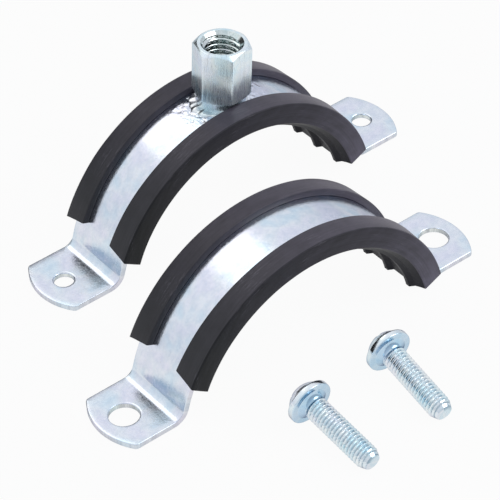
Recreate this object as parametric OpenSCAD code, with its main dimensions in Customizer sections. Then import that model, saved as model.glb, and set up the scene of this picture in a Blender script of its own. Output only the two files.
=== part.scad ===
// Two-piece pipe hanger with a rubber lining, taken apart on a table: the half with the
// threaded boss stands behind, the half with the clearance holes in front of it, and the
// two ear screws lie before them. The ears stand on z = 0, X runs from ear to ear and
// Y along the pipe.

/* [Pipe] */
// Outer diameter of the largest pipe that the hanger takes
pipe_d = 64; // [40:1:110]
// Play between that pipe and the ribs before the screws are driven, on the radius
pipe_play = 1.2; // [0.2:0.1:2]

/* [Steel strip] */
// Width of the strip
band_w = 20; // [20:0.5:30]
// Thickness of the strip
band_t = 1.5; // [1:0.1:2.5]
// Height of an ear's underside above the centre of the arch
ear_rise = 7.5; // [3:0.25:10]
// Inside radius of the bend between the arch and an ear
bend_r = 3; // [1.5:0.25:5]

/* [Ears] */
// Distance from the foot of the bend to the centre of the screw hole
hole_off = 7.2; // [6:0.1:14]
// Distance from the centre of the screw hole to the tip of the ear
ear_tip = 7.1; // [6.5:0.1:14]
// Radius of the rounded end of an ear
ear_end_r = 16.4; // [16:0.2:40]
// Radius of the two corners of an ear
ear_corner_r = 1.2; // [0.5:0.1:2]
// Diameter of the clearance hole in the ears of the lower half
clear_hole_d = 7.5; // [7:0.1:9]

/* [Rubber lining] */
// Thickness of the rubber between the ribs
web_t = 3.45; // [2:0.05:6]
// Height of a rib
rib_h = 1.1; // [0.5:0.1:2]
// Width of a rib at its foot
rib_base = 3.6; // [3:0.1:4.4]
// Width of a rib at its top
rib_top = 1.2; // [0.6:0.1:2]
// Rubber beyond each edge of the strip
side_t = 2.1; // [1.2:0.1:3]
// Height of a lip above the strip at its free edge
lip_t = 1.9; // [0.8:0.1:2.5]
// Height of the lining's outer corner above the strip
ridge_h = 1.7; // [0.6:0.1:2.5]
// How far a lip reaches in over the strip
lip_reach = 3.6; // [2:0.1:3.6]
// Width of the bevel at the lining's inner corner
bevel_w = 2.2; // [1:0.1:3]
// Height of that bevel
bevel_h = 1.2; // [0.5:0.1:2]
// Play between the strip and the groove that holds it
groove_play = 0.05; // [0.02:0.01:0.2]
// Gap from the level of the ears' underside up to the lining's right end
end_gap = 0.15; // [0.1:0.05:3]
// Angle by which the lining stops short at its left end
short_angle = 11.5; // [4:0.5:30]
// Angle by which the upper lining has slid round its strip
upper_slip = 3.5; // [0:0.5:4]
// Slant of the lining's cut ends
end_slant = 10; // [5:1:25]
// How much shorter a lip is at its free edge
lip_trim = 1.5; // [0.2:0.1:3]

/* [Boss] */
// Thread size of the rod that the boss takes
rod_d = 10; // [6:1:10]
// Pitch of the rod's thread
rod_pitch = 1.5; // [1:0.05:1.5]
// Width of the boss across its flats
boss_af = 13; // [13:0.5:17]
// Height of the boss above the crown of the strip
boss_h = 16.5; // [12:0.5:30]
// Diameter of the countersink at the mouth of the boss
mouth_d = 10.8; // [10:0.1:11.5]
// Angle by which the boss is turned about its axis
boss_turn = 12; // [0:1:59]
// Angle round the arch by which the boss stands to the right of the crown
boss_off_angle = 4.5; // [0:0.5:10]

/* [Ear screws] */
// Thread size of the ear screws
screw_d = 6; // [6:0.5:6.5]
// Pitch of the screw thread
screw_pitch = 1; // [0.8:0.05:1.25]
// Length under the head
screw_len = 21.4; // [12:0.2:40]
// Diameter of the head
head_d = 11.6; // [10:0.1:14]
// Height of the head
head_h = 4.8; // [3:0.1:5]
// Height of the head's straight rim
rim_h = 1.8; // [0.8:0.1:2]
// Width of the slot across the head
slot_w = 1.3; // [1:0.1:1.8]
// Depth of the slot
slot_depth = 1.7; // [1:0.1:2]
// Length of the tapered tip
point_len = 2; // [1:0.1:3]

/* [Layout on the table] */
// Distance between the pipe axes' midpoints of the two halves, along Y
half_gap = 47.7; // [40:0.1:90]
// How far the upper half stands to the right of the lower one
half_shift = 16.9; // [0:0.1:40]
// Distance from the lower lining to the seat under the left screw's head
left_screw_gap = 17; // [8:0.1:40]
// Distance from the lower lining to the seat under the right screw's head
right_screw_gap = 15.7; // [8:0.1:40]
// Place of the left screw to the side of the lower half's middle
left_screw_x = -15.2; // [-30:0.1:-10]
// Place of the right screw to the side of the lower half's middle
right_screw_x = 9.7; // [5:0.1:30]
// Turn of the left screw on the table
left_screw_turn = 0.9; // [-6:0.1:6]
// Turn of the right screw on the table
right_screw_turn = -4.7; // [-6:0.1:6]
// Angle of the left screw's slot to the floor
left_screw_roll = 20; // [0:1:90]
// Angle of the right screw's slot to the floor
right_screw_roll = 73; // [0:1:90]

/* [Hidden] */
$fn = 120;
steel = [0.80, 0.83, 0.88];
rubber = [0.17, 0.17, 0.19];
eps = 0.01;
big = 400;

// Radii about the centre of the arch, which lies ear_rise below the ears
rib_r = pipe_d / 2 + pipe_play;
web_r = rib_r + rib_h;
band_in_r = web_r + web_t + groove_play;
band_out_r = band_in_r + band_t;
lip_r = band_out_r + lip_t;
ridge_r = band_out_r + ridge_h;
centre_z = -ear_rise;

// The bend touches the ear from above and the arch from outside
bend_z = band_t + bend_r;
bend_x = sqrt(pow(band_out_r + bend_r, 2) - pow(bend_z - centre_z, 2));
bend_angle = atan2(bend_z - centre_z, bend_x);
hole_x = bend_x + hole_off;
tip_x = hole_x + ear_tip;

liner_half_w = band_w / 2 + side_t;
groove_half_w = band_w / 2 + groove_play;
lip_edge_y = band_w / 2 - lip_reach;
ridge_bevel = 0.5;
rib_pitch = liner_half_w - bevel_w - rib_base / 2 - 0.1;

// At the right end the ribs clear the ears' level, and the lips stop where the bend begins
liner_start = asin((ear_rise + end_gap) / rib_r) + asin(web_r * sin(end_slant) / rib_r)
    - end_slant;
liner_end = 180 - liner_start - short_angle;
ridge_cut = (ridge_r - web_r) * tan(end_slant);
bend_cut = (band_out_r + groove_play) * sin(bend_angle + 0.15 - liner_start);
bend_trim = max(lip_trim, (bend_cut - ridge_cut) * (liner_half_w - lip_edge_y) / side_t);

tap_hole_d = screw_d - screw_pitch;
tap_chamfer = 0.35;
rod_hole_d = rod_d - 1.0825 * rod_pitch;

boss_corner_d = boss_af / cos(30);
foot_r = lip_edge_y - 0.25;
foot_h = lip_t + 0.15;
foot_flare = 0.7;
weld_r = lip_edge_y - 0.05;
weld_h = 0.6;
foot_sink = 0.5;
boss_chamfer = 1.1;
boss_face_r = boss_af / 2 - 0.3;

shank_r = screw_d / 2 - 0.03;
neck_r = shank_r + 0.5;
point_r = shank_r * 0.7;
thread_len = screw_len - point_len;
lean = atan((head_d / 2 - shank_r) / thread_len);
dome_edge_r = head_d / 2 - 0.75;
dome_r = (pow(dome_edge_r, 2) + pow(head_h - rim_h, 2)) / (2 * (head_h - rim_h));
cross_w = 1.5;
cross_len = 6.2;
cross_depth = 2.1;

// The layout is centred on the origin from front to back and from side to side
back_y = half_gap + liner_half_w;
function screw_front(gap, turn) = liner_half_w + gap + screw_len * cos(turn) * cos(lean)
    + point_r * sqrt(1 - pow(cos(turn) * cos(lean), 2));
front_y = -max(screw_front(left_screw_gap, left_screw_turn),
    screw_front(right_screw_gap, right_screw_turn));
mid_y = (back_y + front_y) / 2;
lower_at = [-half_shift / 2, -mid_y, 0];
upper_at = [half_shift / 2, half_gap - mid_y, 0];

// Ring sector between two radii, from angle a0 to angle a1
module ring_sector(r0, r1, a0, a1) {
    middle = (a0 + a1) / 2;
    intersection() {
        difference() {
            circle(r1);
            circle(r0);
        }
        polygon([[0, 0], big * [cos(a0), sin(a0)], 2 * big * [cos(middle), sin(middle)],
            big * [cos(a1), sin(a1)]]);
    }
}

// Side view of one half's strip: arch, two bends and two flat ears
module strip_profile() {
    translate([0, centre_z]) ring_sector(band_in_r, band_out_r, bend_angle, 180 - bend_angle);
    for (side = [-1, 1]) scale([side, 1]) {
        translate([bend_x, bend_z])
            ring_sector(bend_r, bend_r + band_t, 180 + bend_angle, 270);
        translate([bend_x, 0]) square([tip_x - bend_x, band_t]);
    }
}

// Plan view of one half's strip, with its rounded ends
module strip_plan() {
    arc_x = tip_x - ear_end_r;
    corner_y = band_w / 2 - ear_corner_r;
    corner_x = arc_x + sqrt(pow(ear_end_r - ear_corner_r, 2) - pow(corner_y, 2));
    touch = ear_end_r / (ear_end_r - ear_corner_r);
    difference() {
        intersection() {
            square([2 * tip_x, band_w], center = true);
            union() {
                square([2 * arc_x, band_w], center = true);
                for (side = [-1, 1]) translate([side * arc_x, 0]) circle(ear_end_r);
            }
        }
        for (sx = [-1, 1], sy = [-1, 1]) scale([sx, sy]) difference() {
            polygon([[corner_x, corner_y], [corner_x, band_w / 2 + 1],
                [corner_x + 4 * ear_corner_r, band_w / 2 + 1],
                [arc_x + (corner_x - arc_x) * touch * 1.02, corner_y * touch * 1.02],
                [arc_x + (corner_x - arc_x) * touch, corner_y * touch]]);
            translate([corner_x, corner_y]) circle(ear_corner_r);
        }
    }
}

module bent_strip() {
    intersection() {
        rotate([90, 0, 0]) linear_extrude(band_w + 2, center = true) strip_profile();
        linear_extrude(2 * band_out_r + ear_rise, center = true) strip_plan();
    }
}

// Drills both ears
module ear_holes(d) {
    for (side = [-1, 1]) translate([side * hole_x, 0, -1]) cylinder(d = d, h = band_t + 2);
}

// Countersinks the top of both ears
module ear_chamfers(d, depth) {
    for (side = [-1, 1]) translate([side * hole_x, 0, band_t - depth])
        cylinder(d1 = d, d2 = d + 2 * depth + 2 * eps, h = depth + eps);
}

// Half section of the lining, radius against width, with three ribs towards the pipe
function rib(y) = [[web_r, y - rib_base / 2], [rib_r, y - rib_top / 2],
    [rib_r, y + rib_top / 2], [web_r, y + rib_base / 2]];
function lip(side) = [[web_r + bevel_h, side * liner_half_w],
    [ridge_r - ridge_bevel, side * liner_half_w],
    [ridge_r, side * (liner_half_w - ridge_bevel)],
    [lip_r, side * lip_edge_y],
    [band_out_r + groove_play, side * lip_edge_y],
    [band_out_r + groove_play, side * groove_half_w],
    [band_in_r - groove_play, side * groove_half_w]];
function reversed(list) = [for (i = [len(list) - 1 : -1 : 0]) list[i]];

module lining_section() {
    polygon(concat(
        [[web_r, -liner_half_w + bevel_w]],
        rib(-rib_pitch), rib(0), rib(rib_pitch),
        [[web_r, liner_half_w - bevel_w]],
        lip(1),
        reversed(lip(-1))));
}

// Side view of what the knife leaves between the two slanted ends of the web
function turned(a, p) = [p.x * cos(a) - p.y * sin(a), p.x * sin(a) + p.y * cos(a)];
module between_ends(a0, a1) {
    rise = tan(end_slant);
    polygon([turned(a0, [0, -web_r * rise]), turned(a0, [3 * web_r, 2 * web_r * rise]),
        [0, big],
        turned(a1, [3 * web_r, -2 * web_r * rise]), turned(a1, [0, web_r * rise])]);
}

// Wedge that shortens one lip towards its free edge, which ends that much earlier
module lip_wedge(side, way, trim) {
    slope = trim / (liner_half_w - lip_edge_y);
    outer_z = 0.98 * ridge_cut - slope;
    inner_z = 0.98 * ridge_cut + trim + slope;
    translate([band_out_r - band_t / 2, 0, 0])
        rotate([90, 0, 90]) linear_extrude(band_t + 3 * lip_t)
            polygon([[side * (liner_half_w + 1), way * 3],
                [side * (liner_half_w + 1), -way * outer_z],
                [side * (lip_edge_y - 1), -way * inner_z],
                [side * (lip_edge_y - 1), way * 3]]);
}

module lining(slip) {
    a0 = liner_start + slip;
    a1 = liner_end + slip;
    translate([0, 0, centre_z]) difference() {
        intersection() {
            rotate([90, 0, 0]) rotate_extrude() lining_section();
            rotate([90, 0, 0]) linear_extrude(4 * band_w, center = true) between_ends(a0, a1);
        }
        for (side = [-1, 1]) {
            rotate([0, -a0, 0]) lip_wedge(side, -1, bend_trim);
            rotate([0, -a1, 0]) lip_wedge(side, 1, lip_trim);
        }
    }
}

module hex_body() {
    intersection() {
        cylinder(d = boss_corner_d, h = boss_h, $fn = 6);
        rotate_extrude() polygon([[0, 0], [foot_r, 0], [foot_r, foot_h],
            [boss_corner_d / 2 + eps, foot_h + foot_flare],
            [boss_corner_d / 2 + eps, boss_h - boss_chamfer],
            [boss_face_r, boss_h], [0, boss_h]]);
    }
}

module upper_band() {
    color(steel) translate(upper_at) difference() {
        bent_strip();
        ear_holes(tap_hole_d);
        ear_chamfers(tap_hole_d, tap_chamfer);
    }
}

// The boss stands square to the arch, so it turns about the arch's centre
module threaded_boss() {
    sink_h = (mouth_d - rod_hole_d) / 2;
    color(steel) translate(upper_at) translate([0, 0, centre_z]) rotate([0, boss_off_angle, 0])
        difference() {
            union() {
                translate([0, 0, band_out_r]) rotate([0, 0, boss_turn]) hex_body();
                // Foot and weld collar reach down on both sides of the arch
                translate([0, 0, band_out_r - 1]) cylinder(r = foot_r, h = 1 + foot_h / 2);
                translate([0, 0, band_out_r - 1]) rotate_extrude()
                    polygon([[0, 0], [weld_r, 0], [weld_r, 1], [foot_r, 1 + weld_h],
                        [0, 1 + weld_h]]);
            }
            rotate([90, 0, 0]) cylinder(r = band_out_r, h = 2 * band_w, center = true);
            translate([0, 0, band_out_r - 2]) cylinder(d = rod_hole_d, h = boss_h + 4);
            translate([0, 0, band_out_r - foot_sink])
                cylinder(d1 = rod_hole_d + 4 * foot_sink, d2 = rod_hole_d, h = 2 * foot_sink);
            translate([0, 0, band_out_r + boss_h - sink_h])
                cylinder(d1 = rod_hole_d, d2 = mouth_d + 2 * eps, h = sink_h + eps);
        }
}

module upper_lining() {
    color(rubber) translate(upper_at) lining(upper_slip);
}

module lower_band() {
    color(steel) translate(lower_at) difference() {
        bent_strip();
        ear_holes(clear_hole_d);
    }
}

module lower_lining() {
    color(rubber) translate(lower_at) lining(0);
}

// Screw with its seat under the head at z = 0, the head above and the tip below
module screw() {
    difference() {
        union() {
            rotate_extrude() {
                square([head_d / 2, rim_h]);
                intersection() {
                    translate([0, head_h - dome_r]) circle(dome_r);
                    translate([0, rim_h - eps]) square([dome_edge_r, head_h]);
                }
            }
            rotate_extrude() polygon([[0, eps], [neck_r, eps], [neck_r, 0], [shank_r, -0.5],
                [shank_r, -thread_len], [point_r, -screw_len], [0, -screw_len]]);
        }
        translate([-head_d, -slot_w / 2, head_h - slot_depth]) cube([2 * head_d, slot_w, head_h]);
        for (turn = [0, 90]) rotate([0, 0, turn]) translate([0, cross_w / 2, head_h + eps])
            rotate([90, 0, 0]) linear_extrude(cross_w)
                polygon([[-cross_len / 2, 0], [cross_len / 2, 0],
                    [cross_w / 2, -cross_depth], [-cross_w / 2, -cross_depth]]);
    }
}

// A screw lies on the rim of its head and on the end of its thread, the tip to the front
module lying_screw(side_x, gap, turn, roll) {
    translate(lower_at + [side_x, -liner_half_w - gap, head_d / 2 * cos(lean)])
        rotate([0, 0, turn]) rotate([-90 + lean, 0, 0]) rotate([0, 0, roll]) screw();
}

module left_screw() {
    color(steel) lying_screw(left_screw_x, left_screw_gap, left_screw_turn, left_screw_roll);
}

module right_screw() {
    color(steel) lying_screw(right_screw_x, right_screw_gap, right_screw_turn, right_screw_roll);
}

upper_band();
threaded_boss();
upper_lining();
lower_band();
lower_lining();
left_screw();
right_screw();
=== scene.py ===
import math

import bmesh
import bpy
from mathutils import Matrix, Vector, geometry, noise


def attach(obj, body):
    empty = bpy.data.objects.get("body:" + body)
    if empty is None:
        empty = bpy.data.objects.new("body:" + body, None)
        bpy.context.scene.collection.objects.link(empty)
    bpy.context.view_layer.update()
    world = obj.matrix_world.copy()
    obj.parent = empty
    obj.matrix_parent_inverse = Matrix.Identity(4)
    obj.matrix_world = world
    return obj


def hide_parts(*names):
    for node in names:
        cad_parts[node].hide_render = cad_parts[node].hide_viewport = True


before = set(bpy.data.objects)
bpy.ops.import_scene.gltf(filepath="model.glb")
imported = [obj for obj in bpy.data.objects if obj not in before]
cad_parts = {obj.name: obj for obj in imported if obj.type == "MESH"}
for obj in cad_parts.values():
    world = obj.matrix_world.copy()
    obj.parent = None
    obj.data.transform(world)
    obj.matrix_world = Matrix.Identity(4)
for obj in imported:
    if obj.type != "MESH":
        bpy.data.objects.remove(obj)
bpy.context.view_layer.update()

MM = 0.001

# Sizes of the strip, as in the part's source, in mm
BAND_W, BAND_T = 20.0, 1.5
BAND_IN_R, BAND_OUT_R = 37.8, 39.3
BEND_R = 3.0
EAR_RISE = 7.5
HOLE_OFF, EAR_TIP, EAR_END_R, CORNER_R = 7.2, 7.1, 16.4, 1.2
CLEAR_R, TAP_R = 3.75, 2.5

# Sizes of the lining, as in the part's source
RIB_R, WEB_R = 33.2, 34.3
RIB_BASE, RIB_TOP, RIB_PITCH = 3.6, 1.2, 8.0
LINER_HALF_W, LIP_EDGE_Y = 12.1, 6.4
LIP_R, RIDGE_R = 41.2, 41.0
BEVEL_W, BEVEL_H = 2.2, 1.2
PLAY = 0.05
SIDE_T = 2.1
LIP_TRIM = 1.5
END_GAP = 0.15
END_SLANT = math.radians(10)
SHORT_ANGLE = math.radians(11.5)
UPPER_SLIP = math.radians(3.5)

# Sizes of the boss, as in the part's source
BOSS_AF, BOSS_H = 13.0, 16.5
BOSS_CHAMFER = 1.1
BOSS_FACE_R = BOSS_AF / 2 - 0.3
FOOT_R, FOOT_H, FOOT_FLARE = 6.15, 2.05, 0.7
ROD_CORE_R, ROD_PITCH, MOUTH_R = 4.1881, 1.5, 5.4
BOSS_LEAN = math.radians(4.5)
BOSS_TURN = math.radians(12)

# Sizes of the screws, as in the part's source
SCREW_LEN, POINT_LEN = 21.4, 2.0
SHANK_R, SCREW_PITCH = 2.97, 1.0
HEAD_R, HEAD_H, RIM_H = 5.8, 4.8, 1.8
DOME_EDGE_R = HEAD_R - 0.75

# Places of the two halves, and of each screw from the lower half, as in the part's source
LOWER_AT = Vector((-8.45, -4.6124, 0.0))
UPPER_AT = Vector((8.45, 43.0876, 0.0))
LEFT_X, LEFT_Y, LEFT_TURN, LEFT_ROLL = -15.2, -29.1, math.radians(0.9), math.radians(20)
RIGHT_X, RIGHT_Y, RIGHT_TURN, RIGHT_ROLL = 9.7, -27.8, math.radians(-4.7), math.radians(73)

# What only the dressed part has
EDGE_ROUND = 0.22  # rounding of the strip's sheared edges
LIP_CREEP = 1.0  # how much further the lips reach in at their left ends
UPPER_START_SLIP = math.radians(1.5)  # the upper lining's right end has slid less
END_SKEW = math.radians(1.2)  # the right cuts run lower on the front side
ROD_R = 4.95  # root of the boss's thread
SCREW_CORE_R = 2.42  # root of the screws' thread
NECK_R = 1.4  # fillet under a screw head
HAIR = 0.02  # gap that keeps two surfaces apart, and tolerance when one is looked for

# What follows from these sizes
CENTRE_Z = -EAR_RISE
CROWN_Z = CENTRE_Z + BAND_OUT_R
BEND_Z = BAND_T + BEND_R
BEND_X = math.sqrt((BAND_OUT_R + BEND_R) ** 2 - (BEND_Z - CENTRE_Z) ** 2)
BEND_A = math.atan2(BEND_Z - CENTRE_Z, BEND_X)
MID_R = (BAND_IN_R + BAND_OUT_R) / 2
BEND_MID_R = BEND_R + BAND_T / 2
S_ARCH = MID_R * (math.pi / 2 - BEND_A)
S_BEND = S_ARCH + BEND_MID_R * (math.pi / 2 - BEND_A)
GROOVE_HALF_W = BAND_W / 2 + PLAY
RIDGE_CUT = (RIDGE_R - WEB_R) * math.tan(END_SLANT)
LINER_START = (math.asin((EAR_RISE + END_GAP) / RIB_R)
               + math.asin(WEB_R * math.sin(END_SLANT) / RIB_R) - END_SLANT)
LINER_END = math.pi - LINER_START - SHORT_ANGLE
BEND_CUT = (BAND_OUT_R + PLAY) * math.sin(BEND_A + math.radians(0.15) - LINER_START)
BEND_TRIM = max(LIP_TRIM, (BEND_CUT - RIDGE_CUT) * (LINER_HALF_W - LIP_EDGE_Y) / SIDE_T)
LEAN = math.atan((HEAD_R - SHANK_R) / (SCREW_LEN - POINT_LEN))
SEAT_Z = HEAD_R * math.cos(LEAN)


# Helpers for meshes
def add_object(name, bm, materials, smooth_angle):
    """Turns a bmesh in millimetres into an object in metres with smooth faces."""
    bmesh.ops.recalc_face_normals(bm, faces=bm.faces[:])
    for v in bm.verts:
        v.co *= MM
    mesh = bpy.data.meshes.new(name)
    bm.to_mesh(mesh)
    bm.free()
    for mat in materials:
        mesh.materials.append(mat)
    mesh.polygons.foreach_set("use_smooth", [True] * len(mesh.polygons))
    mesh.set_sharp_from_angle(angle=math.radians(smooth_angle))
    obj = bpy.data.objects.new(name, mesh)
    bpy.context.scene.collection.objects.link(obj)
    return obj


def rounded(points, radii, closed=True, steps=3):
    """Rounds the corners of a 2D polyline; a radius of 0 keeps the corner."""
    side_share = 0.45  # most of a side that one corner may take
    out = []
    n = len(points)
    for i in range(n):
        p = Vector(points[i])
        if radii[i] <= 0 or (not closed and i in (0, n - 1)):
            out.append(p)
            continue
        a = Vector(points[i - 1]) - p
        b = Vector(points[(i + 1) % n]) - p
        half = a.angle(b) / 2
        cut = min(radii[i] / math.tan(half), a.length * side_share, b.length * side_share)
        pa, pb = p + a.normalized() * cut, p + b.normalized() * cut
        for k in range(steps + 1):
            t = k / steps
            out.append((1 - t) ** 2 * pa + 2 * t * (1 - t) * p + t * t * pb)
    return out


def set_uv(bm, values):
    """Writes a UV layer in millimetres from one 2D value per vertex."""
    layer = bm.loops.layers.uv.new("uv")
    for face in bm.faces:
        for loop in face.loops:
            loop[layer].uv = values[loop.vert.index]


def ring_faces(bm, rings):
    """Quads between neighbouring rings of vertices."""
    for a, b in zip(rings, rings[1:]):
        n = len(a)
        for i in range(n):
            j = (i + 1) % n
            bm.faces.new((a[i], a[j], b[j], b[i]))


# Steel strip
def bent(s, y, t):
    """Place on the bent strip: s along it from the crown, t up from its inner face."""
    side, d = (1, s) if s >= 0 else (-1, -s)
    if d <= S_ARCH:
        a = d / MID_R
        x, z = (BAND_IN_R + t) * math.sin(a), CENTRE_Z + (BAND_IN_R + t) * math.cos(a)
    elif d <= S_BEND:
        a = math.pi + BEND_A + (d - S_ARCH) / BEND_MID_R
        r = BEND_R + BAND_T - t
        x, z = BEND_X + r * math.cos(a), BEND_Z + r * math.sin(a)
    else:
        x, z = BEND_X + d - S_BEND, t
    return Vector((side * x, y, z))


def ear_outline(columns):
    """Outline of one ear in the flat, from the strip's columns round its end and back."""
    side_steps, corner_steps, end_steps = 10, 6, 28
    tip = S_BEND + HOLE_OFF + EAR_TIP
    arc_s = tip - EAR_END_R
    half = BAND_W / 2
    cy = half - CORNER_R
    cs = arc_s + math.sqrt((EAR_END_R - CORNER_R) ** 2 - cy * cy)
    points = [(S_BEND, y) for y in columns]
    points += [(S_BEND + (cs - S_BEND) * (i + 1) / side_steps, half) for i in range(side_steps)]
    turn = math.atan2(cy, cs - arc_s)
    for i in range(1, corner_steps + 1):
        a = math.pi / 2 + (turn - math.pi / 2) * i / corner_steps
        points.append((cs + CORNER_R * math.cos(a), cy + CORNER_R * math.sin(a)))
    for i in range(1, end_steps):
        a = turn - 2 * turn * i / end_steps
        points.append((arc_s + EAR_END_R * math.cos(a), EAR_END_R * math.sin(a)))
    for i in range(corner_steps + 1):
        a = -turn + (turn - math.pi / 2) * i / corner_steps
        points.append((cs + CORNER_R * math.cos(a), -cy + CORNER_R * math.sin(a)))
    points += [(cs + (S_BEND - cs) * (i + 1) / side_steps, -half)
               for i in range(side_steps - 1)]
    return points


def flat_sheet(hole_r):
    """Faces of the flat blank: the strip's grid and rings of faces about each hole."""
    verts, index, faces = [], {}, []

    def put(p):
        key = (round(p[0], 4), round(p[1], 4))
        if key not in index:
            index[key] = len(verts)
            verts.append(p)
        return index[key]

    half = BAND_W / 2
    n_across, n_arch, n_bend = 20, 56, 12
    columns = [-half + BAND_W * i / n_across for i in range(n_across + 1)]
    rows = [S_ARCH * i / n_arch for i in range(n_arch)]
    rows += [S_ARCH + (S_BEND - S_ARCH) * i / n_bend for i in range(n_bend + 1)]
    rows = [-s for s in reversed(rows[1:])] + rows
    for s0, s1 in zip(rows, rows[1:]):
        for y0, y1 in zip(columns, columns[1:]):
            faces.append([put((s0, y0)), put((s1, y0)), put((s1, y1)), put((s0, y1))])
    outline = ear_outline(columns)
    hole = Vector((S_BEND + HOLE_OFF, 0))
    # each ring starts this far out from the hole and goes this share of the way to the outline
    ring_places = ((0, 0), (0.7, 0), (0, 0.35), (0, 0.7), (0, 1))
    for side in (1, -1):
        rings = []
        for lift, share in ring_places:
            ring = []
            for p in outline:
                way = Vector(p) - hole
                start = hole + way.normalized() * (hole_r + lift)
                q = start.lerp(Vector(p), share)
                ring.append(put((side * q.x, q.y)))
            rings.append(ring)
        for a, b in zip(rings, rings[1:]):
            for i in range(len(a)):
                j = (i + 1) % len(a)
                quad = [a[i], a[j], b[j], b[i]]
                faces.append(quad if side > 0 else quad[::-1])
    return verts, faces


def make_strip(name, at, hole_r, hole_cut, materials):
    """Bent strip with bevelled edges; hole_cut is the countersink of its holes."""
    verts, faces = flat_sheet(hole_r)
    bm = bmesh.new()
    top = [bm.verts.new((s, y, BAND_T)) for s, y in verts]
    low = [bm.verts.new((s, y, 0.0)) for s, y in verts]
    for f in faces:
        bm.faces.new([top[i] for i in f])
        bm.faces.new([low[i] for i in reversed(f)])
    edges = dict.fromkeys(e for f in faces for e in zip(f, f[1:] + f[:1]))
    for i, j in edges:
        if (j, i) not in edges:
            bm.faces.new((top[j], top[i], low[i], low[j]))
    bmesh.ops.recalc_face_normals(bm, faces=bm.faces[:])
    bm.normal_update()

    def from_hole(p):
        return math.hypot(abs(p.x) - S_BEND - HOLE_OFF, p.y)

    def rims(of_hole):
        """Sharp edges, either those of the holes or those of the outline."""
        out = []
        for e in bm.edges:
            if len(e.link_faces) != 2 or e.calc_face_angle(0) < 1.0:
                continue
            if all(abs(from_hole(v.co) - hole_r) < HAIR for v in e.verts) == of_hole:
                out.append(e)
        return out

    bmesh.ops.bevel(bm, geom=rims(False), offset=EDGE_ROUND, segments=3, profile=0.5,
                    affect="EDGES", clamp_overlap=False)
    bmesh.ops.bevel(bm, geom=rims(True), offset=hole_cut, segments=2, profile=0.5,
                    affect="EDGES", clamp_overlap=False)
    bm.normal_update()
    bm.verts.index_update()
    # the two broad faces, the sheared edges and the holes differ in material: the sheared edges
    # are rougher, and darker as painted shade on these side faces; the holes are coloured
    # darker
    for f in bm.faces:
        bored = from_hole(f.calc_center_median()) < hole_r + 0.05
        f.material_index = 0 if abs(f.normal.z) >= 0.35 else 2 if bored else 1
    set_uv(bm, [Vector((v.co.x, v.co.y)) for v in bm.verts])
    for v in bm.verts:
        v.co = bent(*v.co) + at
    return add_object(name, bm, materials, 50)


# Rubber lining
def lining_section():
    """Section of the lining as (radius, width) points; each corner has its rounding."""
    def rib(y):
        return [((WEB_R, y - RIB_BASE / 2), 0.3), ((RIB_R, y - RIB_TOP / 2), 0.3),
                ((RIB_R, y + RIB_TOP / 2), 0.3), ((WEB_R, y + RIB_BASE / 2), 0.3)]

    def lip(side):
        w, e = LINER_HALF_W, LIP_EDGE_Y
        return [((WEB_R + BEVEL_H, side * w), 0.4),
                ((RIDGE_R - 0.05, side * w), 0.45),
                ((LIP_R, side * e), 0.3),
                ((BAND_OUT_R + PLAY, side * e), 0.12),
                ((BAND_OUT_R + PLAY, side * GROOVE_HALF_W), 0.1),
                ((BAND_IN_R - PLAY, side * GROOVE_HALF_W), 0.1)]

    edge = LINER_HALF_W - BEVEL_W
    marks = [((WEB_R, -edge), 0.05)] + rib(-RIB_PITCH) + rib(0) + rib(RIB_PITCH)
    marks += [((WEB_R, edge), 0.05)] + lip(1) + lip(-1)[::-1]
    return rounded([m[0] for m in marks], [m[1] for m in marks])


def end_angle(r, y, trim):
    """How far past the lining's nominal end angle the rubber begins at this point."""
    cut = END_SLANT - math.asin(WEB_R * math.sin(END_SLANT) / r)
    if r > BAND_OUT_R - BAND_T / 2:
        t = (LINER_HALF_W - abs(y)) / (LINER_HALF_W - LIP_EDGE_Y)
        cut = max(cut, math.asin((0.98 * RIDGE_CUT + trim * t) / r))
    return cut


def subdivided(points, longest):
    """Closed outline with extra points on its long sides."""
    out = []
    for a, b in zip(points, points[1:] + points[:1]):
        n = max(1, math.ceil((b - a).length / longest))
        out += [a.lerp(b, i / n) for i in range(n)]
    return out


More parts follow.
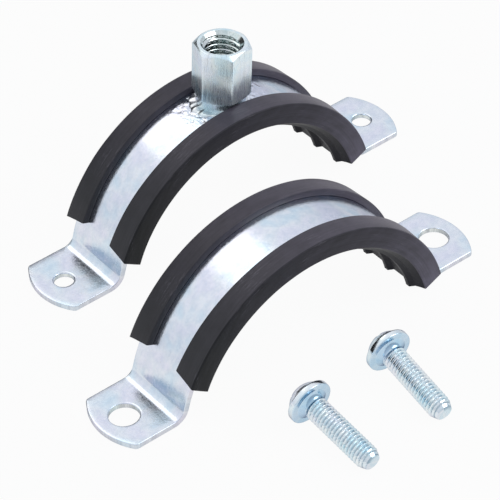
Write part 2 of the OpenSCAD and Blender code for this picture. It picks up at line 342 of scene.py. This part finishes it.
def make_lining(name, at, start_slip, end_slip, seed, materials):
    """Lining whose right end has slid round by start_slip and its left end by end_slip."""
    steps, longest_side = 132, 1.6
    creep_from, creep_span = 110, 45  # degrees round the arch
    section = subdivided(lining_section(), longest_side)
    bm = bmesh.new()
    rings, uv, lengths, run = [], [], [], 0.0
    for a, b in zip(section, section[1:] + section[:1]):
        lengths.append(run)
        run += (b - a).length
    for k in range(steps + 1):
        ring = []
        for i, (r, y) in enumerate(section):
            a0 = LINER_START + start_slip + end_angle(r, y, BEND_TRIM)
            # the cut runs a little lower on the side to the front
            skew = max(0.0, -y / LINER_HALF_W) ** 2
            a0 -= END_SKEW * skew * min(1.0, max(0.0, r - RIB_R - 1.2))
            a1 = LINER_END + end_slip - end_angle(r, y, LIP_TRIM)
            a = a0 + (a1 - a0) * k / steps
            # the extruded rubber is never quite even
            wave = 0.05 * noise.noise(Vector((a * 5, y * 0.08, seed)))
            rr = r + wave if r > BAND_OUT_R + 0.5 else r
            yy = y * (1 - 0.002 * abs(noise.noise(Vector((a * 4, 7.0, seed)))))
            if r > BAND_OUT_R:
                # towards the left end the lips reach further over the strip
                reach = min(1.0, max(0.0, (math.degrees(a) - creep_from) / creep_span))
                part = max(0.0, (GROOVE_HALF_W - abs(y)) / (GROOVE_HALF_W - LIP_EDGE_Y))
                yy -= math.copysign(LIP_CREEP * reach * part, y)
            ring.append(bm.verts.new((rr * math.cos(a), yy, CENTRE_Z + rr * math.sin(a))))
            uv.append(Vector((a * r, lengths[i])))
        rings.append(ring)
    ring_faces(bm, rings)
    # the front lip, the sides, the rear lip and the inside take lit and shaded copies of the
    # rubber, which differ in painted sheen and painted shade
    for f in bm.faces:
        r = min(math.hypot(v.co.x, v.co.z - CENTRE_Z) for v in f.verts)
        y = min(abs(v.co.y) for v in f.verts)
        # the inside gets the darkest copy, as painted shade
        if r < WEB_R + BEVEL_H - 0.45:
            f.material_index = 3
        elif f.verts[0].co.y > 0:
            f.material_index = 2
        else:
            f.material_index = 1 if y > LINER_HALF_W - 0.6 else 0
    tris = geometry.tessellate_polygon([[Vector((p[0], p[1], 0)) for p in section]])
    for ring in (rings[0], rings[-1]):
        for tri in tris:
            bm.faces.new([ring[i] for i in tri])
    bm.verts.index_update()
    set_uv(bm, uv)
    bmesh.ops.recalc_face_normals(bm, faces=bm.faces[:])
    for v in bm.verts:
        v.co += at
    return add_object(name, bm, materials, 32)


# Threads and boss
def thread_depth(turns):
    """Height of a metric thread's profile, 0 at the root and 1 at the crest."""
    half_crest, flank = 0.0625, 0.3125  # shares of the pitch
    f = turns % 1.0
    f = min(f, 1 - f)
    x = (0.5 - f - half_crest) / flank
    t = min(1.0, max(0.0, 1 - x))
    return t * t * (3 - 2 * t) * 0.5 + t * 0.5


def hex_radius(a, apothem, rho):
    """Radius of a hexagon with rounded corners, with a corner at angle 0."""
    step = math.pi / 3
    d = (a + step / 2) % step - step / 2
    centre = (apothem - rho) / math.cos(step / 2)
    limit = math.atan2(rho * math.sin(step / 2), centre + rho * math.cos(step / 2))
    if abs(d) <= limit:
        return centre * math.cos(d) + math.sqrt(rho ** 2 - (centre * math.sin(d)) ** 2)
    return apothem / math.cos(step / 2 - abs(d))


def leaning(p):
    """The boss is welded on square to the arch, a little to the right of its crown."""
    axis = Vector((0, 0, CENTRE_Z))
    return axis + Matrix.Rotation(BOSS_LEAN, 3, "Y") @ (p - axis)


def boss_profile(rh, world):
    """Outside of the boss as (radius, height) points, where its hexagon has radius rh."""
    corner = BOSS_AF / 2 / math.cos(math.pi / 6)
    k_foot = (rh - FOOT_R) / (corner - FOOT_R)
    k_top = (corner - rh) / (corner - BOSS_FACE_R)
    foot_x = FOOT_R * math.cos(world)
    foot_low = math.sqrt(BAND_OUT_R ** 2 - foot_x ** 2) - BAND_OUT_R + HAIR
    marks = [(FOOT_R, foot_low), (FOOT_R, FOOT_H), (rh, FOOT_H + FOOT_FLARE * k_foot),
             (rh, BOSS_H - BOSS_CHAMFER * (1 - k_top)), (BOSS_FACE_R, BOSS_H),
             (MOUTH_R, BOSS_H)]
    return rounded(marks, [0, 0.3, 0.25, 0.2, 0.2, 0], closed=False)[:-1]


def make_boss(name, at, turn, materials):
    """Hexagonal boss with its threaded bore; its columns crowd at the six corners."""
    corner_round, thread_step = 0.4, 0.075
    from_corner = (-1.6, -1.1, -0.6, 0, 0.6, 1.1, 1.6, 4, 8, 12, 17, 23, 30, 37, 43, 48, 52, 56)
    angles = [math.radians(60 * k + d) for k in range(6) for d in from_corner]
    bm = bmesh.new()
    columns, uv = [], []
    for a in angles:
        world = a + turn
        line = boss_profile(hex_radius(a, BOSS_AF / 2, corner_round), world)
        n_outside = len(line)
        for i in range(int(BOSS_H / thread_step) + 1):
            z = BOSS_H - i * thread_step
            depth = 1 - thread_depth(z / ROD_PITCH - world / (2 * math.pi))
            r = max(ROD_CORE_R + (ROD_R - ROD_CORE_R) * depth, MOUTH_R - (BOSS_H - z))
            line.append(Vector((r, z)))
        column, run, last = [], 0.0, line[0]
        for p in line:
            run += (p - last).length
            last = p
            place = (p.x * math.cos(world), p.x * math.sin(world), CROWN_Z + p.y)
            column.append(bm.verts.new(place))
            uv.append(Vector((a * BOSS_AF / 2, run)))
        columns.append(column)
    for a, b in zip(columns, columns[1:] + columns[:1]):
        for j in range(len(a)):
            k = (j + 1) % len(a)
            face = bm.faces.new((a[j], b[j], b[k], a[k]))
            face.material_index = 1 if j >= n_outside else 0
    bm.verts.index_update()
    set_uv(bm, uv)
    for v in bm.verts:
        v.co = leaning(v.co) + at
    return add_object(name, bm, materials, 30)


def make_weld(name, at, material):
    """Uneven bead that the weld pressed out round the foot of the boss, most to its left."""
    around, across = 200, 24
    bm = bmesh.new()
    rings, uv = [], []
    for i in range(around):
        a = 2 * math.pi * i / around
        lump = noise.noise(Vector((math.cos(a) * 2.1, math.sin(a) * 2.1, 4.0)))
        fine = noise.noise(Vector((math.cos(a) * 6, math.sin(a) * 6, 9.0)))
        size = 0.5 + 0.2 * lump + 0.08 * fine
        ring_r = FOOT_R + HAIR + 0.12 * lump
        leftness = max(0.0, -math.cos(a))
        ring = []
        for j in range(across):
            b = 2 * math.pi * j / across
            spread = 0.8 + 3.4 * leftness * (1 if math.cos(b) > 0 else 0)
            r = ring_r + size * spread * math.cos(b)
            x, y = r * math.cos(a), r * math.sin(a)
            # the bead stays between the lips
            y = max(-LIP_EDGE_Y + 0.04, min(LIP_EDGE_Y - 0.04, y))
            ground = CENTRE_Z + math.sqrt(BAND_OUT_R ** 2 - x * x)
            ripple = noise.noise(Vector((x * 0.55, y * 0.55, 2.0)))
            rise = size * (0.9 + 0.3 * fine + 0.5 * ripple) * math.sin(b)
            ring.append(bm.verts.new((x, y, ground + max(rise, -0.05))))
            uv.append(Vector((a * 6, b)))
        rings.append(ring)
    ring_faces(bm, rings + [rings[0]])
    bm.verts.index_update()
    set_uv(bm, uv)
    for v in bm.verts:
        v.co = leaning(v.co) + at
    return add_object(name, bm, [material], 80)


# Ear screws
def revolve(profile, segments):
    """Closed solid of revolution from an open profile that starts and ends on the axis."""
    bm = bmesh.new()
    ends = [bm.verts.new((0, 0, p[1])) for p in (profile[0], profile[-1])]
    rings = []
    for r, z in profile[1:-1]:
        rings.append([bm.verts.new((r * math.cos(2 * math.pi * i / segments),
                                    r * math.sin(2 * math.pi * i / segments), z))
                      for i in range(segments)])
    ring_faces(bm, rings)
    for end, ring in zip(ends, (rings[0], rings[-1])):
        for i in range(segments):
            bm.faces.new((end, ring[i], ring[(i + 1) % segments]))
    bmesh.ops.recalc_face_normals(bm, faces=bm.faces[:])
    return bm


def scratch_object(name, bm):
    """Object in millimetres that only serves to cut a recess."""
    mesh = bpy.data.meshes.new(name)
    bm.to_mesh(mesh)
    bm.free()
    obj = bpy.data.objects.new(name, mesh)
    bpy.context.scene.collection.objects.link(obj)
    return obj


def cutter(name, low, low_z, high, high_z, turn=0.0):
    """Solid from a low rectangle to a high one, each given by half its two sides."""
    bm = bmesh.new()
    rot = Matrix.Rotation(turn, 4, "Z")
    rings = []
    for (x, y), z in ((low, low_z), (high, high_z)):
        corners = ((-x, -y, z), (x, -y, z), (x, y, z), (-x, y, z))
        rings.append([bm.verts.new(rot @ Vector(c)) for c in corners])
    bm.faces.new(rings[0][::-1])
    bm.faces.new(rings[1])
    ring_faces(bm, rings)
    return scratch_object(name, bm)


def make_head():
    """Head of a screw with its slot and cross recess cut, as a bmesh in millimetres."""
    head_sides, dome_steps = 96, 16
    rim_round, rim_drop = 0.5, 0.52
    dome_h = HEAD_H - RIM_H
    dome_r = (DOME_EDGE_R ** 2 + dome_h ** 2) / (2 * dome_h)
    marks = [Vector((0, 0)), Vector((SHANK_R + 0.4, 0)), Vector((HEAD_R, 0)),
             Vector((HEAD_R, RIM_H))]
    profile = rounded(marks, [0, 0, 0.3, 0], closed=False, steps=4)[:-1]
    for degrees in (0, 22, 45, 67, 90):
        a = math.radians(degrees)
        profile.append(Vector((HEAD_R - rim_round + rim_round * math.cos(a),
                               RIM_H - rim_drop + rim_round * math.sin(a))))
    for i in range(dome_steps + 1):
        a = math.asin(DOME_EDGE_R / dome_r) * (1 - i / dome_steps)
        profile.append(Vector((dome_r * math.sin(a), HEAD_H - dome_r + dome_r * math.cos(a))))
    head = scratch_object("head_blank", revolve(profile, head_sides))
    slot_low, slot_high = (8, 0.62), (8, 0.68)
    wing_low, wing_high = (0.8, 0.45), (3.6, 0.7)
    wing_z, wing_top = HEAD_H - 2.3, HEAD_H + 0.3
    cutters = [cutter("slot_cut", slot_low, HEAD_H - 1.5, slot_high, HEAD_H + 1),
               cutter("cross_cut_0", wing_low, wing_z, wing_high, wing_top),
               cutter("cross_cut_1", wing_low, wing_z, wing_high, wing_top, math.pi / 2)]
    for obj in cutters:
        mod = head.modifiers.new("cut", "BOOLEAN")
        mod.operation, mod.solver, mod.object = "DIFFERENCE", "EXACT", obj
    bpy.context.view_layer.update()
    graph = bpy.context.evaluated_depsgraph_get()
    bm = bmesh.new()
    bm.from_mesh(head.evaluated_get(graph).to_mesh())
    for obj in [head] + cutters:
        bpy.data.objects.remove(obj, do_unlink=True)
    return bm


def shank_radius(z, a):
    """Radius of the threaded shank below the head, at height z and angle a."""
    plain = SHANK_R - 0.1
    fade = min(1.0, max(0.0, (-z - 0.4) / 1.0))
    height = thread_depth(z / SCREW_PITCH - a / (2 * math.pi))
    crest = SCREW_CORE_R + (SHANK_R - SCREW_CORE_R) * height
    r = plain + (crest - SHANK_R + 0.1) * fade
    if z > -NECK_R:
        r = max(r, plain + NECK_R * (1 + z / NECK_R) ** 2)
    taper = -z - (SCREW_LEN - POINT_LEN)
    if taper > 0:
        r = min(r, SHANK_R - (SHANK_R * 0.3) * taper / POINT_LEN)
    return r


def make_screw(name, seat, turn, roll, material):
    """Screw that lies on its head and tip, with the middle of its head's seat at seat."""
    sides, thread_step, first_z, tip_rise = 72, 0.06, 0.05, 0.06
    steps = int((SCREW_LEN - 0.3) / thread_step)
    neck = SHANK_R + NECK_R - 0.1
    bm = make_head()
    columns = []
    for i in range(sides):
        a = 2 * math.pi * i / sides
        column = [bm.verts.new((neck * math.cos(a), neck * math.sin(a), HAIR))]
        for k in range(steps + 1):
            z = -first_z - k * (SCREW_LEN - first_z) / steps
            r = shank_radius(z, a)
            column.append(bm.verts.new((r * math.cos(a), r * math.sin(a), z)))
        columns.append(column)
    for a, b in zip(columns, columns[1:] + columns[:1]):
        for j in range(len(a) - 1):
            bm.faces.new((a[j], b[j], b[j + 1], a[j + 1]))
    tip = bm.verts.new((0, 0, -SCREW_LEN + tip_rise))
    for a, b in zip(columns, columns[1:] + columns[:1]):
        bm.faces.new((tip, a[-1], b[-1]))
    bm.verts.index_update()
    set_uv(bm, [Vector((math.atan2(v.co.y, v.co.x) * SHANK_R, v.co.z)) for v in bm.verts])
    place = (Matrix.Translation(seat) @ Matrix.Rotation(turn, 4, "Z")
             @ Matrix.Rotation(-math.pi / 2 + LEAN, 4, "X") @ Matrix.Rotation(roll, 4, "Z"))
    for v in bm.verts:
        v.co = place @ v.co
    return add_object(name, bm, [material], 32)


# Helpers for materials
def new_material(name):
    mat = bpy.data.materials.new(name)
    mat.use_nodes = True
    nodes, links = mat.node_tree.nodes, mat.node_tree.links
    return mat, nodes, links, nodes["Principled BSDF"]


def uv_of(nodes):
    node = nodes.new("ShaderNodeUVMap")
    node.uv_map = "uv"
    return node.outputs["UV"]


def texture(nodes, links, source, scale, detail, stretch=(1, 1, 1), rough=0.55):
    """Noise over the given coordinates; the stretch is in cells per unit."""
    mapping = nodes.new("ShaderNodeMapping")
    mapping.inputs["Scale"].default_value = stretch
    links.new(source, mapping.inputs["Vector"])
    tex = nodes.new("ShaderNodeTexNoise")
    tex.inputs["Scale"].default_value = scale
    tex.inputs["Detail"].default_value = detail
    tex.inputs["Roughness"].default_value = rough
    links.new(mapping.outputs[0], tex.inputs["Vector"])
    return tex.outputs["Fac"]


def ramp(nodes, links, source, stops):
    """Colour ramp; the value of each stop is a colour or a grey."""
    node = nodes.new("ShaderNodeValToRGB")
    bar = node.color_ramp
    while len(bar.elements) < len(stops):
        bar.elements.new(0.5)
    for element, (place, colour) in zip(bar.elements, stops):
        element.position = place
        element.color = (*colour, 1) if isinstance(colour, tuple) else (colour,) * 3 + (1,)
    links.new(source, node.inputs["Fac"])
    return node.outputs["Color"]


def spread_out(nodes, links, source, low, high):
    """Maps what runs from low to high onto 0 to 1."""
    node = nodes.new("ShaderNodeMapRange")
    node.inputs["From Min"].default_value = low
    node.inputs["From Max"].default_value = high
    links.new(source, node.inputs["Value"])
    return node.outputs[0]


def calc(nodes, links, operation, *values):
    """Arithmetic on sockets and plain numbers."""
    node = nodes.new("ShaderNodeMath")
    node.operation = operation
    for socket, value in zip(node.inputs, values):
        if isinstance(value, (int, float)):
            socket.default_value = value
        else:
            links.new(value, socket)
    return node.outputs[0]


def compared(nodes, links, operation, source, vector):
    """Distance of a vector from a fixed one, or their dot product."""
    node = nodes.new("ShaderNodeVectorMath")
    node.operation = operation
    node.inputs[1].default_value = vector
    links.new(source, node.inputs[0])
    return node.outputs["Value"]


def averaged(nodes, links, first, second, share):
    """Mean of two noises, with the second one's share in it."""
    mix = nodes.new("ShaderNodeMix")
    mix.inputs[0].default_value = share
    links.new(first, mix.inputs[2])
    links.new(second, mix.inputs[3])
    return mix.outputs[0]


def multiplied(nodes, links, first, second):
    """Product of two colours."""
    mix = nodes.new("ShaderNodeMix")
    mix.data_type = "RGBA"
    mix.blend_type = "MULTIPLY"
    mix.inputs[0].default_value = 1.0
    links.new(first, mix.inputs[6])
    links.new(second, mix.inputs[7])
    return mix.outputs[2]


def covered(nodes, links, base, colour, share):
    """The base with a plain colour over it, as far as the share says."""
    mix = nodes.new("ShaderNodeMix")
    mix.data_type = "RGBA"
    mix.inputs[7].default_value = (*colour, 1)
    links.new(base, mix.inputs[6])
    links.new(share, mix.inputs[0])
    return mix.outputs[2]


def bumped(nodes, links, height, strength, distance):
    node = nodes.new("ShaderNodeBump")
    node.inputs["Strength"].default_value = strength
    node.inputs["Distance"].default_value = distance
    links.new(height, node.inputs["Height"])
    return node


# Materials
def thread_shade(nodes, links, uv, colour):
    """Darkens a colour with painted shade along the roots of the screw thread, and with a
    blue-tinted painted shade in the fillet and under the head.
    """
    parts = nodes.new("ShaderNodeSeparateXYZ")
    links.new(uv, parts.inputs[0])
    turns = calc(nodes, links, "DIVIDE", parts.outputs["X"], 2 * math.pi * SHANK_R)
    along = calc(nodes, links, "DIVIDE", parts.outputs["Y"], SCREW_PITCH)
    root = calc(nodes, links, "SUBTRACT", along, turns)
    root = calc(nodes, links, "PINGPONG", root, 0.5)
    unthreaded = calc(nodes, links, "GREATER_THAN", parts.outputs["Y"], -0.9)
    clear = calc(nodes, links, "MAXIMUM", root, unthreaded)
    # painted shade along the roots of the thread
    shade = ramp(nodes, links, clear, [(0.04, (0.46, 0.54, 0.60)), (0.26, (1.0, 1.0, 1.0))])
    colour = multiplied(nodes, links, colour, shade)
    # painted shade, tinted blue, in the fillet and under the head
    under = spread_out(nodes, links, parts.outputs["Y"], -NECK_R - 0.3, 0.5)
    under_head_shade = ramp(nodes, links, under,
                [(0.0, (1.0, 1.0, 1.0)), (0.3, (0.56, 0.72, 0.86)), (0.7, (0.62, 0.77, 0.90)),
                 (1.0, (1.0, 1.0, 1.0))])
    return multiplied(nodes, links, colour, under_head_shade)


def melted(nodes, links, uv):
    """Ripples in the strip around the foot of the boss, where the weld heated it."""
    away = compared(nodes, links, "DISTANCE", uv, (BOSS_LEAN * MID_R, 0, 0))
    near = spread_out(nodes, links, away, 15.0, 7.0)
    waves = texture(nodes, links, uv, 0.55, 2, (1, 0.8, 1), 0.45)
    return bumped(nodes, links, calc(nodes, links, "MULTIPLY", near, waves), 0.55, 0.0014)


def zinc(name, dark, light, rough, grain=1.0, bump_by=0.2, lines=(0.25, 5.0, 1),
         threaded=False, scratched=False, welded=False, metal=1.0):
    """Bright zinc plating: mottled and slightly brushed metal."""
    mat, nodes, links, shader = new_material(name)
    uv = uv_of(nodes)
    cloud = texture(nodes, links, uv, 0.45, 4, rough=0.65)
    drawn = (1, 0.07, 1) if scratched else (1, 1, 1)
    speck = texture(nodes, links, uv, 2.2 * grain, 4, drawn, 0.7)
    brush = texture(nodes, links, uv, 1.0, 2, lines)
    mottle = averaged(nodes, links, cloud, speck, 0.35)
    colour = ramp(nodes, links, mottle, [(0.40, dark), (0.58, light)])
    # the passivated zinc shifts a little between blue, grey and violet
    shift = texture(nodes, links, uv, 0.11, 2)
    hue = ramp(nodes, links, shift, [(0.38, (0.88, 0.97, 1.0)), (0.5, (1.0, 1.0, 1.0)),
                                     (0.62, (0.98, 0.95, 1.0))])
    colour = multiplied(nodes, links, colour, hue)
    if threaded:
        colour = thread_shade(nodes, links, uv, colour)
    if scratched:
        marks = texture(nodes, links, uv, 1.0, 2, (1.1, 0.03, 1))
        scratch = ramp(nodes, links, marks, [(0.53, 1.0), (0.54, 0.66), (0.55, 1.0)])
        colour = multiplied(nodes, links, colour, scratch)
    links.new(colour, shader.inputs["Base Color"])
    links.new(ramp(nodes, links, speck, [(0.3, rough - 0.07), (0.7, rough + 0.12)]),
              shader.inputs["Roughness"])
    shader.inputs["Metallic"].default_value = metal
    shader.inputs["Specular Tint"].default_value = (0.55, 0.56, 0.62, 1)
    height = averaged(nodes, links, speck, brush, 0.5)
    bump = bumped(nodes, links, height, bump_by, 0.00006)
    if welded:
        ripples = melted(nodes, links, uv)
        links.new(bump.outputs["Normal"], ripples.inputs["Normal"])
        bump = ripples
    links.new(bump.outputs["Normal"], shader.inputs["Normal"])
    return mat


def rubber(name, dark, light, specular, sheen=2.5):
    """Matt black rubber with faint lines along the extrusion; a painted sheen makes it paler at
    its right end, and painted shade darker at its left end.
    """
    mat, nodes, links, shader = new_material(name)
    uv = uv_of(nodes)
    cloud = texture(nodes, links, uv, 0.25, 3)
    lines = texture(nodes, links, uv, 1.0, 3, (0.06, 2.2, 1))
    dust = texture(nodes, links, uv, 3.0, 4, rough=0.7)
    streaks = averaged(nodes, links, cloud, lines, 0.5)
    colour = ramp(nodes, links, streaks, [(0.35, dark), (0.68, light)])
    # painted sheen fades along the lining, from its right end to its left one, where it turns
    # into painted shade
    parts = nodes.new("ShaderNodeSeparateXYZ")
    links.new(uv, parts.inputs[0])
    length = spread_out(nodes, links, parts.outputs["X"], 8.0, 100.0)
    sheen_and_shade = ramp(nodes, links, length,
                [(0.0, (sheen, sheen * 0.97, sheen)), (0.35, (1.6, 1.56, 1.6)),
                 (0.62, (1.15, 1.15, 1.17)), (1.0, (0.5, 0.56, 0.5))])
    colour = multiplied(nodes, links, colour, sheen_and_shade)
    # dusty scuffs mixed with painted highlight streaks, most of them where the lining was
    # handled
    streak_noise = texture(nodes, links, uv, 1.0, 5, (0.25, 3.2, 1), rough=0.75)
    place = texture(nodes, links, uv, 0.09, 1)
    scuffs_and_highlights = calc(nodes, links, "MULTIPLY",
                ramp(nodes, links, streak_noise, [(0.54, 0.0), (0.74, 1.0)]),
                ramp(nodes, links, place, [(0.52, 0.0), (0.68, 1.0)]))
    colour = covered(nodes, links, colour, (0.16, 0.15, 0.18), scuffs_and_highlights)
    links.new(colour, shader.inputs["Base Color"])
    links.new(ramp(nodes, links, dust, [(0.3, 0.36), (0.7, 0.52)]), shader.inputs["Roughness"])
    shader.inputs["Specular IOR Level"].default_value = specular
    height = averaged(nodes, links, lines, dust, 0.4)
    bump = bumped(nodes, links, height, 0.25, 0.00008)
    links.new(bump.outputs["Normal"], shader.inputs["Normal"])
    return mat


strip_dark, strip_light = (0.74, 0.80, 0.89), (0.86, 0.90, 0.96)
strip_zinc = zinc("strip_zinc", strip_dark, strip_light, 0.17, 0.7, bump_by=0.45)
welded_zinc = zinc("welded_zinc", strip_dark, strip_light, 0.17, 0.7, bump_by=0.45,
                   welded=True)
# painted shade: the sheared side faces are coloured darker than the broad faces
shaded_edge_zinc = zinc("shaded_edge_zinc", (0.60, 0.62, 0.68), (0.84, 0.85, 0.89), 0.36, 1.5)
bore_zinc = zinc("bore_zinc", (0.46, 0.49, 0.50), (0.84, 0.88, 0.86), 0.26, 2.0)
boss_zinc = zinc("boss_zinc", (0.82, 0.94, 1.0), (0.92, 1.0, 1.0), 0.25, bump_by=0.06,
                 lines=(5.0, 0.1, 1), scratched=True, metal=0.92)
thread_zinc = zinc("thread_zinc", (0.66, 0.72, 0.70), (0.88, 0.93, 0.90), 0.12, bump_by=0.05)
screw_zinc = zinc("screw_zinc", (0.80, 0.90, 0.96), (0.96, 1.0, 1.0), 0.13, threaded=True)
weld_zinc = zinc("weld_zinc", (0.60, 0.66, 0.68), (0.90, 0.93, 0.94), 0.25, bump_by=0.1)
lip_dark, lip_light = (0.032, 0.028, 0.038), (0.056, 0.049, 0.066)
# lit and shaded copies of one rubber: the front lip with painted sheen, the sides darker as
# painted shade yet with painted sheen at the right end, the rear lip with less painted sheen,
# the inside darkest as painted shade
black_rubber = rubber("black_rubber", lip_dark, lip_light, 0.42)
shaded_side_rubber = rubber("shaded_side_rubber", (0.020, 0.019, 0.023), (0.035, 0.033, 0.042), 0.18, 5.0)
rear_rubber = rubber("rear_rubber", lip_dark, lip_light, 0.38, 1.1)
shaded_inner_rubber = rubber("shaded_inner_rubber", (0.007, 0.007, 0.009), (0.013, 0.013, 0.016), 0.1)

# The pieces
strip_mats = [strip_zinc, shaded_edge_zinc, bore_zinc]
welded_mats = [welded_zinc, shaded_edge_zinc, bore_zinc]
lining_mats = [black_rubber, shaded_side_rubber, rear_rubber, shaded_inner_rubber]
upper_strip = make_strip("upper_strip", UPPER_AT, TAP_R, 0.35, welded_mats)
lower_strip = make_strip("lower_strip", LOWER_AT, CLEAR_R, 0.2, strip_mats)
upper_rubber = make_lining("upper_rubber", UPPER_AT, UPPER_START_SLIP, UPPER_SLIP, 3.0,
                           lining_mats)
lower_rubber = make_lining("lower_rubber", LOWER_AT, 0.0, 0.0, 11.0, lining_mats)
boss = make_boss("boss", UPPER_AT, BOSS_TURN, [boss_zinc, thread_zinc])
weld = make_weld("weld_bead", UPPER_AT, weld_zinc)
left = make_screw("screw_left", LOWER_AT + Vector((LEFT_X, LEFT_Y, SEAT_Z)),
                  LEFT_TURN, LEFT_ROLL, screw_zinc)
right = make_screw("screw_right", LOWER_AT + Vector((RIGHT_X, RIGHT_Y, SEAT_Z)),
                   RIGHT_TURN, RIGHT_ROLL, screw_zinc)

for piece, node, slot in (
    (upper_strip, "upper_band", "strip_steel"),
    (lower_strip, "lower_band", "strip_steel"),
    (upper_rubber, "upper_lining", "lining_rubber"),
    (lower_rubber, "lower_lining", "lining_rubber"),
    (boss, "threaded_boss", "boss_steel"),
    (weld, "threaded_boss", "boss_steel"),
    (left, "left_screw", "screw_steel"),
    (right, "right_screw", "screw_steel"),
):
    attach(piece, "root")
    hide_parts(node)


# Floor, light and camera
def make_floor():
    """Pale floor that keeps a faint shadow; nearly white to the camera and in reflections."""
    below = 0.00002  # metres, so that the ears don't lie in the floor
    bm = bmesh.new()
    bmesh.ops.create_grid(bm, x_segments=2, y_segments=2, size=3.0)
    mesh = bpy.data.meshes.new("floor")
    bm.to_mesh(mesh)
    bm.free()
    floor = bpy.data.objects.new("floor", mesh)
    bpy.context.scene.collection.objects.link(floor)
    floor.location.z = -below
    mat = bpy.data.materials.new("floor")
    mat.use_nodes = True
    nodes, links = mat.node_tree.nodes, mat.node_tree.links
    nodes.clear()
    out = nodes.new("ShaderNodeOutputMaterial")
    diffuse = nodes.new("ShaderNodeBsdfDiffuse")
    diffuse.inputs["Color"].default_value = (0.5, 0.5, 0.5, 1)
    glow = nodes.new("ShaderNodeEmission")
    glow.inputs["Color"].default_value = (1, 1, 1, 1)
    path = nodes.new("ShaderNodeLightPath")
    lit = calc(nodes, links, "MULTIPLY_ADD", path.outputs["Is Glossy Ray"], 0.8,
               path.outputs["Is Camera Ray"])
    mix = nodes.new("ShaderNodeMixShader")
    links.new(calc(nodes, links, "MULTIPLY", lit, 0.95), mix.inputs[0])
    links.new(diffuse.outputs[0], mix.inputs[1])
    links.new(glow.outputs[0], mix.inputs[2])
    links.new(mix.outputs[0], out.inputs["Surface"])
    mesh.materials.append(mat)


def make_world():
    """White to the camera; a soft studio, brighter above and behind, dark low behind."""
    brightest = Vector((-0.1, 0.6, 0.75)).normalized()
    darkest = Vector((0.0, 1.0, 0.05)).normalized()
    world = bpy.data.worlds.new("studio")
    bpy.context.scene.world = world
    world.use_nodes = True
    nodes, links = world.node_tree.nodes, world.node_tree.links
    where = nodes.new("ShaderNodeTexCoord").outputs["Generated"]
    along = compared(nodes, links, "DOT_PRODUCT", where, brightest)
    sky = ramp(nodes, links, spread_out(nodes, links, along, -1.0, 1.0),
               [(0.1, (0.32, 0.36, 0.42)), (0.45, (0.58, 0.62, 0.68)),
                (0.75, (0.72, 0.75, 0.80)), (1.0, (0.90, 0.92, 0.95))])
    flag = ramp(nodes, links, compared(nodes, links, "DOT_PRODUCT", where, darkest),
                [(0.76, 1.0), (0.84, 0.05)])
    sky = multiplied(nodes, links, sky, flag)
    path = nodes.new("ShaderNodeLightPath")
    sky = covered(nodes, links, sky, (1, 1, 1), path.outputs["Is Camera Ray"])
    links.new(sky, nodes["Background"].inputs["Color"])
    nodes["Background"].inputs["Strength"].default_value = 1.0


def area_light(name, place, size, power, colour):
    """Square lamp that points at the origin; place and size are in metres."""
    data = bpy.data.lights.new(name, "AREA")
    data.shape = "SQUARE"
    data.size = size
    data.energy = power
    data.color = colour
    obj = bpy.data.objects.new(name, data)
    bpy.context.scene.collection.objects.link(obj)
    obj.location = place
    obj.rotation_mode = "QUATERNION"
    obj.rotation_quaternion = (-Vector(place)).to_track_quat("-Z", "Y")


def make_camera():
    """The photo's camera, fitted to corners of the two halves."""
    focal_px, photo_px, sensor_mm = 2737.5, 500, 36
    azimuth, elevation, roll = math.radians(-36.55), math.radians(41.01), math.radians(-2.97)
    # where it sees the lower half's origin: to the right, upwards and ahead, in mm
    right, up, ahead = 8.17, -18.70, 657.7
    back = Vector((math.sin(azimuth) * math.cos(elevation),
                   -math.cos(azimuth) * math.cos(elevation), math.sin(elevation)))
    level = Vector((math.cos(azimuth), math.sin(azimuth), 0))
    upright = back.cross(level)
    right_way = math.cos(roll) * level + math.sin(roll) * upright
    up_way = math.cos(roll) * upright - math.sin(roll) * level
    data = bpy.data.cameras.new("camera")
    data.sensor_width = sensor_mm
    data.lens = focal_px / photo_px * sensor_mm
    data.clip_start, data.clip_end = 0.01, 20
    cam = bpy.data.objects.new("camera", data)
    bpy.context.scene.collection.objects.link(cam)
    cam.location = (LOWER_AT - right * right_way - up * up_way + ahead * back) * MM
    cam.rotation_mode = "QUATERNION"
    cam.rotation_quaternion = Matrix((right_way, up_way, back)).transposed().to_quaternion()
    bpy.context.scene.camera = cam


make_floor()
make_world()
area_light("key", (-0.05, 0.70, 0.90), 0.56, 0.6, (1.0, 0.93, 0.84))
area_light("fill", (0.7, -0.6, 0.9), 0.9, 5.2, (1.0, 1.0, 1.0))
make_camera()
bpy.context.scene.view_settings.view_transform = "Standard"
